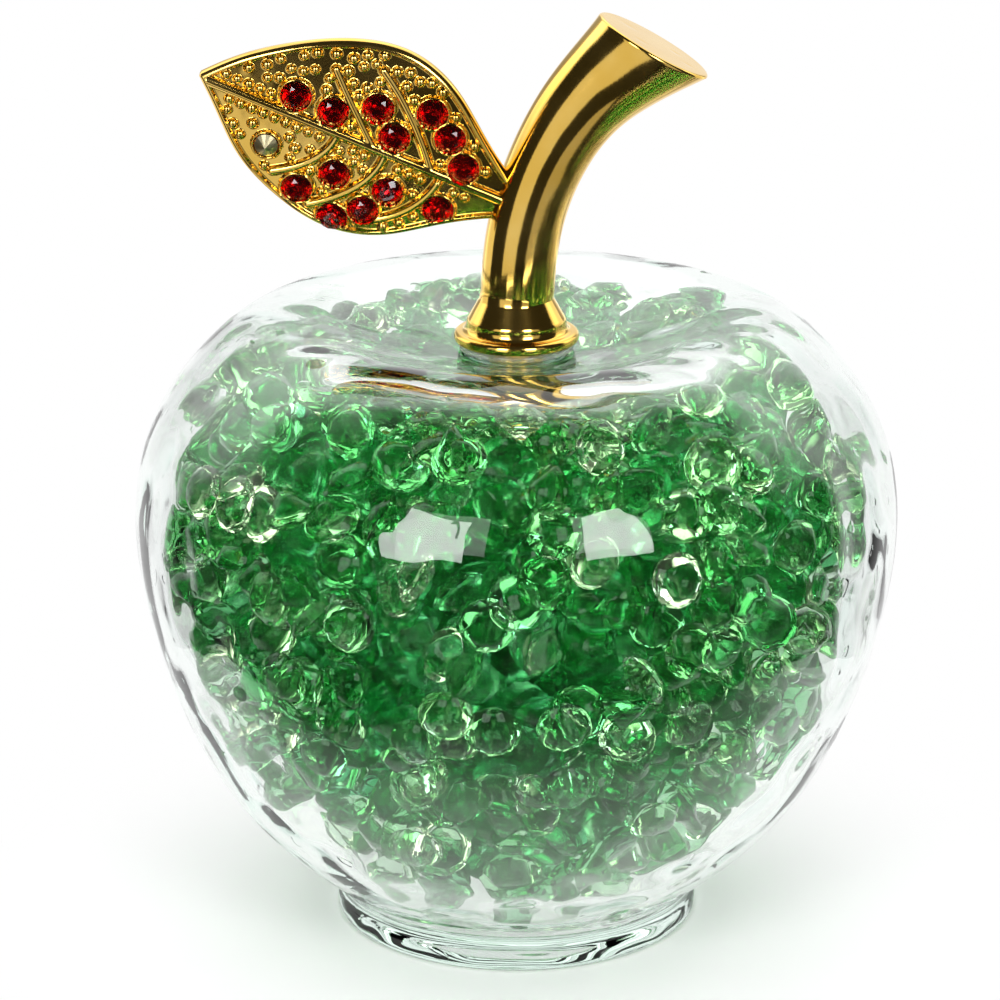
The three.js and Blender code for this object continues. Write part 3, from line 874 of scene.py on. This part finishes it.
def leaf_bend(y):
    return -LEAF_CURL * (y / LEAF_HALF_WIDTH)**2


def vein_paths():
    return [MIDRIB] + [quad_curve(*vein, 14) for vein in VEINS]


def leaf_outline():
    shares = np.linspace(0, 1, LEAF_ROWS // 2)
    return np.concatenate([spline(UPPER_EDGE, shares), spline(LOWER_EDGE, shares)[::-1]])


def bead_places():
    """Beads in rows inside the border and beside the veins, then strewn over what ground is left."""
    random = np.random.default_rng(LEAF_SEED)
    upper = spline(UPPER_EDGE, UPPER_BEADS)
    lower = spline(LOWER_EDGE, LOWER_BEADS)
    border_row = BEAD_ROWS["border"]
    rows = [upper - border_row * outward(upper[::-1])[::-1], lower - border_row * outward(lower)]
    for side in (-1, 1):
        beside = np.full(len(MIDRIB_BEADS), MIDRIB_MIDDLE + side * BEAD_ROWS["midrib"])
        rows.append(np.stack([MIDRIB_BEADS, beside], axis=1))
    for path in vein_paths()[1:]:
        rows.append(path[2::2] + BEAD_ROWS["vein"] * outward(path)[2::2])
        rows.append(path[2::2] - BEAD_ROWS["vein"] * outward(path)[2::2])
    rows.append(random.uniform(*BEAD_DART_BOX, (BEAD_DARTS, 2)))
    tries = np.concatenate(rows)
    room = distance_to_path(tries, leaf_outline()) > BORDER + BEAD_ROOM["border"]
    room &= inside_leaf(tries)
    for path in vein_paths():
        room &= distance_to_path(tries, path) > BEAD_ROOM["vein"]
    for stone in [*RED_STONES, GREY_STONE]:
        room &= np.linalg.norm(tries - stone, axis=1) > STONE_RADIUS + BEAD_ROOM["stone"]
    beads = []
    for place in tries[room]:
        if all(np.hypot(*(place - bead)) > BEAD_SPACE for bead in beads):
            beads.append(place)
    return np.array(beads), BEAD_RADIUS * random.uniform(*BEAD_SIZES, len(beads))


def inside_leaf(places):
    upper = spline(UPPER_EDGE, np.linspace(0, 1, 80))[::-1]
    lower = spline(LOWER_EDGE, np.linspace(0, 1, 80))[::-1]
    top = np.interp(places[:, 0], upper[:, 0], upper[:, 1])
    bottom = np.interp(places[:, 0], lower[:, 0], lower[:, 1])
    return (places[:, 1] < top) & (places[:, 1] > bottom)


def ridge(distance, radius, rise):
    """Height of a rounded ridge or dome, falling steeply away outside it."""
    share = distance / radius
    return np.where(share < 1, rise * np.sqrt(np.maximum(1 - share**2, 0)), -RIDGE_FALL * (distance - radius))


def set_in(relief, distance, radius):
    """The relief with a bezel round a stone of this radius and a conical seat inside it."""
    bezel = ridge(np.abs(distance - radius - BEZEL_HALF), BEZEL_HALF, BEZEL_RISE)
    relief = smooth_max(relief, bezel, BEAD_FILLET)
    mouth = radius + SEAT_MARGIN
    seat = SEAT_TOP - SEAT_DEPTH * smoothstep(mouth, SEAT_FLOOR_RADIUS, distance)
    return np.where(distance < mouth, np.minimum(relief, seat), relief)


def leaf_relief(places):
    """Height of the leaf's front over its middle layer, with veins, beads and the seats of the stones."""
    edge = distance_to_path(places, leaf_outline())
    relief = np.zeros(len(places))
    for path, radius in zip(vein_paths(), [MIDRIB_RADIUS] + [VEIN_RADIUS] * len(VEINS)):
        vein = ridge(distance_to_path(places, path), radius, VEIN_RISE * radius)
        relief = smooth_max(relief, vein, VEIN_FILLET)
    for bead, radius in zip(*bead_places()):
        distance = np.linalg.norm(places - bead, axis=1)
        near = distance < 2 * radius
        dome = ridge(distance[near], radius, BEAD_RISE * radius)
        relief[near] = smooth_max(relief[near], dome, BEAD_FILLET)
    stones = [(place, 1.0) for place in RED_STONES] + [(GREY_STONE, GREY_SCALE)]
    for stone, scale in stones:
        relief = set_in(relief, np.linalg.norm(places - stone, axis=1), scale * STONE_RADIUS)
    floor = LEAF_HALF - GROUND_SINK + relief
    kerb = LEAF_HALF - np.maximum(edge - BORDER, 0) * KERB_SLOPE
    share = np.minimum(edge / BORDER, 1)
    roll = np.where(share < 1, LEAF_HALF * np.sqrt(1 - (1 - share)**2), 3 * LEAF_HALF)
    return np.minimum(roll, smooth_max(kerb, floor, KERB_FILLET))


def beaded_leaf(gold):
    shares = np.linspace(0, 1, LEAF_ROWS)
    upper, lower = spline(UPPER_EDGE, shares), spline(LOWER_EDGE, shares)
    even = np.linspace(0, 1, LEAF_COLUMNS)
    across = EVEN_COLUMNS * even + EDGE_COLUMNS * (0.5 - 0.5 * np.cos(math.pi * even))
    flat = lower[:, None] + (upper - lower)[:, None] * across[None, :, None]
    places = flat.reshape(-1, 2)
    front = leaf_relief(places).reshape(LEAF_ROWS, LEAF_COLUMNS)
    front[:, [0, -1]] = 0
    edge = distance_to_path(places, leaf_outline()).reshape(front.shape)
    back = LEAF_HALF * np.sqrt(1 - (1 - np.minimum(edge / BORDER, 1))**2)
    bend = leaf_bend(flat[..., 1])
    top = np.concatenate([flat, (bend + front)[..., None]], axis=-1)
    under = np.concatenate([flat, (bend - back)[..., None]], axis=-1)
    columns = [*range(0, LEAF_COLUMNS - 1, BACK_STEP), LEAF_COLUMNS - 1]
    inner = columns[1:-1]
    rows = LEAF_ROWS - 1
    tip = (*flat[-1].mean(0), leaf_bend(flat[-1, :, 1].mean()))
    points = np.concatenate([top[:rows].reshape(-1, 3), under[:rows, inner].reshape(-1, 3), [tip]])
    ids = np.arange(rows * LEAF_COLUMNS).reshape(rows, LEAF_COLUMNS)
    hidden = rows * LEAF_COLUMNS + np.arange(rows * len(inner)).reshape(rows, len(inner))
    hidden = np.concatenate([ids[:, :1], hidden, ids[:, -1:]], axis=1)
    last = len(points) - 1
    faces = grid_faces(ids) + grid_faces(hidden[:, ::-1])
    faces += [[a, b, last] for a, b in zip(ids[-1, :-1], ids[-1, 1:])]
    faces += [[b, a, last] for a, b in zip(hidden[-1, :-1], hidden[-1, 1:])]
    faces.append(ids[0, ::-1].tolist() + hidden[0, 1:-1].tolist())
    faces = [face[::-1] for face in faces]
    placed = [leaf_frame() @ Vector(point) for point in points]
    add_piece("beaded_leaf", placed, faces, [gold], "stem", ["leaf"], CRISP["leaf"])


# Stones

def brilliant(cut):
    """Points and faces of a round brilliant of radius 1, girdle at height 0, table up and point down."""
    main = np.arange(8) * math.pi / 4
    half = main + math.pi / 8
    fine = np.arange(16) * math.pi / 8
    lean = math.cos(math.pi / 8)
    slope = cut["crown"] / (1 - cut["table"])
    low = -cut["girdle"]
    star_height = slope * (1 - cut["star"] * lean)
    keel_height = low - cut["pavilion"] * (1 - cut["keel"] * lean)
    points = np.concatenate([
        ring(main, cut["table"], cut["crown"]),
        ring(half, cut["star"], star_height),
        ring(fine, 1, 0),
        ring(fine, 1, low),
        ring(half, cut["keel"], keel_height),
        [(0, 0, low - cut["pavilion"])],
    ])
    table, star, upper, lower, keel, culet = 0, 8, 16, 32, 48, 56
    faces = [list(range(8))]
    for i in range(8):
        j = (i + 1) % 8
        before = (i - 1) % 8
        even, odd, wrap = 2 * i, 2 * i + 1, (2 * i + 2) % 16
        faces += [
            [table + i, star + i, table + j],
            [star + before, upper + even, star + i, table + i],
            [upper + even, upper + odd, star + i],
            [upper + odd, upper + wrap, star + i],
            [upper + even, lower + even, lower + odd, upper + odd],
            [upper + odd, lower + odd, lower + wrap, upper + wrap],
            [keel + i, lower + odd, lower + even],
            [keel + i, lower + wrap, lower + odd],
            [keel + before, culet, keel + i, lower + even],
        ]
    return points, faces


def stone_frame(place):
    """Frame of a stone that sits square on the leaf's bent face."""
    x, y = place
    tilt = -math.atan(2 * LEAF_CURL * y / LEAF_HALF_WIDTH**2)
    seat = Matrix.Translation((x, y, leaf_bend(y) + LEAF_HALF - STONE_SINK))
    return leaf_frame() @ seat @ Matrix.Rotation(tilt, 4, "X")


def set_stones(crown, foil, grey_foil):
    points, faces = brilliant(STONE_CUT)
    backs = [int(np.mean([points[v][2] for v in face]) < -STONE_CUT["girdle"]) for face in faces]
    random = np.random.default_rng(LEAF_SEED)
    for number, place in enumerate(RED_STONES, 1):
        spin = Matrix.Rotation(random.uniform(0, math.pi), 4, "Z")
        placed = [stone_frame(place) @ spin @ Vector(p * STONE_RADIUS) for p in points]
        name = f"red_stone_{number:02d}"
        add_piece(f"cut_{name}", placed, faces, [crown, foil], "stem", [name], kinds=backs)
    turned_over = Matrix.Rotation(math.pi, 4, "X")
    placed = [stone_frame(GREY_STONE) @ turned_over @ Vector(p * STONE_RADIUS * GREY_SCALE) for p in points]
    add_piece("cut_grey_stone", placed, faces, [grey_foil], "stem", ["grey_stone"])


# Stage, light and camera

FLOOR_RADIUS = 0.085
FLOOR_SIDES = 96
FLOOR_LEVEL = -0.05 * MM
FLOOR_FADE = (0.022, 0.06)
# FLOOR_GLOW and FLOOR_FRONT place the floor's painted shade in reflections; FLOOR_THROUGH is the share of
# painted white glow over its shadow seen through glass
FLOOR_GLOW = (0.03, 0.08)
FLOOR_FRONT = (-0.04, -0.01)
FLOOR_THROUGH = 0.75
CAMERA_DISTANCE = 445.3 * MM
CAMERA_RISE = math.radians(18.57)
CAMERA_TARGET = Vector((0, 0, 45 * MM))
CAMERA_LENS = 151.4
CAMERA_SHIFT = (-0.0165, 0.0062)
LAMP_DISTANCE = 0.7
SOFTBOX = {"turn_out": math.radians(27), "rise": math.radians(25), "size": (0.21, 0.27)}
STRIP = {"turn_out": math.radians(35), "rise": math.radians(-8), "size": (0.5, 1.1)}
FLANK = {"turn_out": math.radians(118), "rise": math.radians(-8), "size": (0.5, 1.1)}
SOFTBOX_POWER = 1.9
STRIP_POWER = {"left": 1.3, "right": 0.75}
FLANK_POWER = 1.6
GILT_PIECES = ["polished_stem", "beaded_leaf"]

# The studio as reflections and gems meet it. Light comes in over ranges of the direction's Y, to the back,
# or Z, up, and through the gems once a ray has crossed enough surfaces.
UPPER_STUDIO = (0.12, 0.35)
MIRRORED_BACK = {"upper": (0.18, 0.34), "lower": (0.5, 0.8)}
GLASS_BACK = {"upper": (-0.1, 0.35), "lower": (0.4, 0.7)}
FRONT_LIGHT = 0.025
GLASS_SHADE = 0.98
CEILING_BACK = (0.18, 0.3)
CEILING_UP = (0.3, 0.6)
CEILING_LIGHT = 0.9
PANELS = 5
PANEL_PHASE = 2.2
PANEL_EDGE = (-0.2, 0.9)
PANEL_UP = (-0.2, 0.05)
PANEL_SHADE = 0.6
WINDOWS = 5
WINDOW_EDGE = (0.0, 0.8)
WINDOW_UP = (-0.35, 0.1)
WINDOW_LIGHT = 3.2
SKY_UP = (0.45, 0.95)
SKY_LIGHT = 0.5
GROUND_UP = (-0.95, -0.5)
GROUND_LIGHT = 0.5
DUSK = 0.06
GEM_CROSSINGS = (4.5, 5.5)
WHITE = (1, 1, 1, 1)
WARM_WHITE = (1, 0.97, 0.75, 1)


def seen_rays(shade):
    """1 for what the camera sees directly, in metal and through glass, 0 for light on other surfaces."""
    path = shade.node("ShaderNodeLightPath")
    seen = path.out("Is Camera Ray") + path.out("Is Glossy Ray") + path.out("Is Transmission Ray")
    return shade.math("MINIMUM", seen, 1.0)


def pale_floor():
    """A small pale floor that takes the shadow and fades to white before its edge."""
    material, shade = new_finish("pale_floor")
    place = shade.node("ShaderNodeNewGeometry")
    distance = shade.node("ShaderNodeVectorMath", {"operation": "LENGTH"}, {0: place}, output=1)
    paper = shade.node("ShaderNodeBsdfDiffuse", None, {"Color": (0.93, 0.93, 0.93, 1)})
    path = shade.node("ShaderNodeLightPath")
    reflected = shade.math("MINIMUM", path.out("Glossy Depth"), 1.0)
    front = 1 - ramp(shade, *FLOOR_FRONT, shade.node("ShaderNodeSeparateXYZ", None, {0: place}).out("Y"))
    # Painted shade: in reflections the floor's glow goes dark in front of the apple, from FLOOR_GLOW outwards
    dimmed = 1 - reflected * front * ramp(shade, *FLOOR_GLOW, distance)
    white = shade.node("ShaderNodeEmission", None, {"Strength": seen_rays(shade) * dimmed})
    # Painted light: seen through glass the floor mostly glows white over the apple's shadow
    through = path.out("Is Transmission Ray") * FLOOR_THROUGH
    share = shade.math("MAXIMUM", ramp(shade, *FLOOR_FADE, distance), through)
    close_finish(shade, shade.node("ShaderNodeMixShader", None, {0: share, 1: paper, 2: white}))
    angles = np.linspace(0, 2 * math.pi, FLOOR_SIDES, endpoint=False)
    mesh = bpy.data.meshes.new("floor")
    mesh.from_pydata(ring(angles, FLOOR_RADIUS, FLOOR_LEVEL).tolist(), [], [list(range(FLOOR_SIDES))])
    mesh.materials.append(material)
    floor = bpy.data.objects.new("floor", mesh)
    bpy.context.scene.collection.objects.link(floor)


def bright_back(shade, ranges, y, upper):
    """The bright back of the studio, which reaches further round above than below."""
    return ramp(shade, *ranges["upper"], y) * upper + ramp(shade, *ranges["lower"], y) * (1 - upper)


def gem_light(shade, azimuth, z):
    """What lights the gems: bright windows all round, some sky, some ground and a little everywhere."""
    windows = ramp(shade, *WINDOW_EDGE, shade.math("COSINE", azimuth * WINDOWS))
    windows = windows * ramp(shade, *WINDOW_UP, z) * WINDOW_LIGHT
    ground = (1 - ramp(shade, *GROUND_UP, z)) * GROUND_LIGHT
    return windows + ground + ramp(shade, *SKY_UP, z) * SKY_LIGHT + DUSK


def studio_world():
    """White all round for the camera. Reflections also meet the dim front of the studio."""
    world = bpy.data.worlds.new("studio")
    bpy.context.scene.world = world
    world.use_nodes = True
    world.node_tree.nodes.clear()
    shade = Wire(world.node_tree)
    direction = shade.node("ShaderNodeTexCoord")
    split = shade.node("ShaderNodeSeparateXYZ", None, {0: direction})
    x, y, z = split.out("X"), split.out("Y"), split.out("Z")
    azimuth = shade.math("ARCTAN2", x, 0 - y)
    upper = ramp(shade, *UPPER_STUDIO, z)
    ceiling = ramp(shade, *CEILING_BACK, y) * ramp(shade, *CEILING_UP, z) * CEILING_LIGHT
    slats = shade.math("SINE", azimuth * PANELS + PANEL_PHASE)
    panels = ramp(shade, *PANEL_EDGE, slats) * ramp(shade, *PANEL_UP, z)
    behind = bright_back(shade, MIRRORED_BACK, y, upper)
    mirrored = behind * (1 - panels * PANEL_SHADE) + (1 - behind) * FRONT_LIGHT + ceiling
    beyond = bright_back(shade, GLASS_BACK, y, upper)
    path = shade.node("ShaderNodeLightPath")
    passing = path.out("Is Transmission Ray")
    bouncing = path.out("Is Glossy Ray") * (1 - passing)
    reflected = shade.math("MINIMUM", path.out("Glossy Depth"), 1.0)
    clear = 1 - reflected * (1 - beyond) * GLASS_SHADE + reflected * ceiling
    among_gems = ramp(shade, *GEM_CROSSINGS, path.out("Transmission Depth"))
    through = clear + among_gems * (gem_light(shade, azimuth, z) - clear)
    strength = 1 - bouncing * (1 - mirrored) - passing * (1 - through)
    tone = mix_colour(shade, passing * among_gems, WHITE, WARM_WHITE)
    background = shade.node("ShaderNodeBackground", None, {"Color": tone, "Strength": strength})
    shade.node("ShaderNodeOutputWorld", None, {"Surface": background})


def soft_lamp(name, side, place, power):
    """A rectangular lamp that faces the apple, turned out to one side of the camera's axis."""
    lamp = bpy.data.lights.new(name, "AREA")
    lamp.shape = "RECTANGLE"
    lamp.size, lamp.size_y = place["size"]
    lamp.energy = power
    box = bpy.data.objects.new(name, lamp)
    bpy.context.scene.collection.objects.link(box)
    turn_out, rise = side * place["turn_out"], place["rise"]
    away = Vector((
        math.sin(turn_out) * math.cos(rise),
        -math.cos(turn_out) * math.cos(rise),
        math.sin(rise),
    ))
    box.location = CAMERA_TARGET + away * LAMP_DISTANCE
    box.rotation_euler = (-away).to_track_quat("-Z", "Y").to_euler()
    return box


def studio_lamps():
    """Two softboxes for everything, and four tall strips that light the gilding alone."""
    gilt = bpy.data.collections.new("gilt_pieces")
    for name in GILT_PIECES:
        gilt.objects.link(bpy.data.objects[name])
    for side, word in ((-1, "left"), (1, "right")):
        soft_lamp(f"softbox_{word}", side, SOFTBOX, SOFTBOX_POWER)
        strip = soft_lamp(f"strip_{word}", side, STRIP, STRIP_POWER[word])
        flank = soft_lamp(f"flank_{word}", side, FLANK, FLANK_POWER)
        for lamp in (strip, flank):
            lamp.light_linking.receiver_collection = gilt


def aim_camera():
    lens = bpy.data.cameras.new("camera")
    lens.lens = CAMERA_LENS
    lens.sensor_width = 36
    lens.shift_x, lens.shift_y = CAMERA_SHIFT
    lens.clip_start = 0.01
    camera = bpy.data.objects.new("camera", lens)
    bpy.context.scene.collection.objects.link(camera)
    back = Vector((0, -math.cos(CAMERA_RISE), math.sin(CAMERA_RISE)))
    camera.location = CAMERA_TARGET + back * CAMERA_DISTANCE
    camera.rotation_euler = (-back).to_track_quat("-Z", "Y").to_euler()
    bpy.context.scene.camera = camera


def light_paths():
    """Enough bounces for light to find its way through many gems."""
    scene = bpy.context.scene
    scene.cycles.max_bounces = 26
    scene.cycles.transmission_bounces = 26
    scene.cycles.glossy_bounces = 14
    scene.cycles.blur_glossy = 0.0
    scene.cycles.sample_clamp_indirect = 3.0
    scene.view_settings.view_transform = "Standard"


blown_apple(clear_glass())
cut_gems(
    [green_acrylic(f"clear_acrylic_{number}", *tint) for number, tint in enumerate(CLEAR_TINTS, 1)],
    [green_acrylic(f"rubbed_acrylic_{number}", *tint) for number, tint in enumerate(RUBBED_TINTS, 1)],
)
clear_bung(soft_clear())
polished_stem(gilding("polished_gilding", 0.12 * MM, 150))
beaded_leaf(gilding("cast_gilding", 0.05 * MM, 400))
set_stones(
    stone_crown("ruby_glass", (0.82, 0.02, 0.06, 1)),
    stone_foil("ruby_foil", (0.9, 0.03, 0.07, 1), 0.12),
    stone_foil("smoky_foil", (0.55, 0.49, 0.3, 1), 0.36),
)
pale_floor()
studio_world()
studio_lamps()
aim_camera()
light_paths()
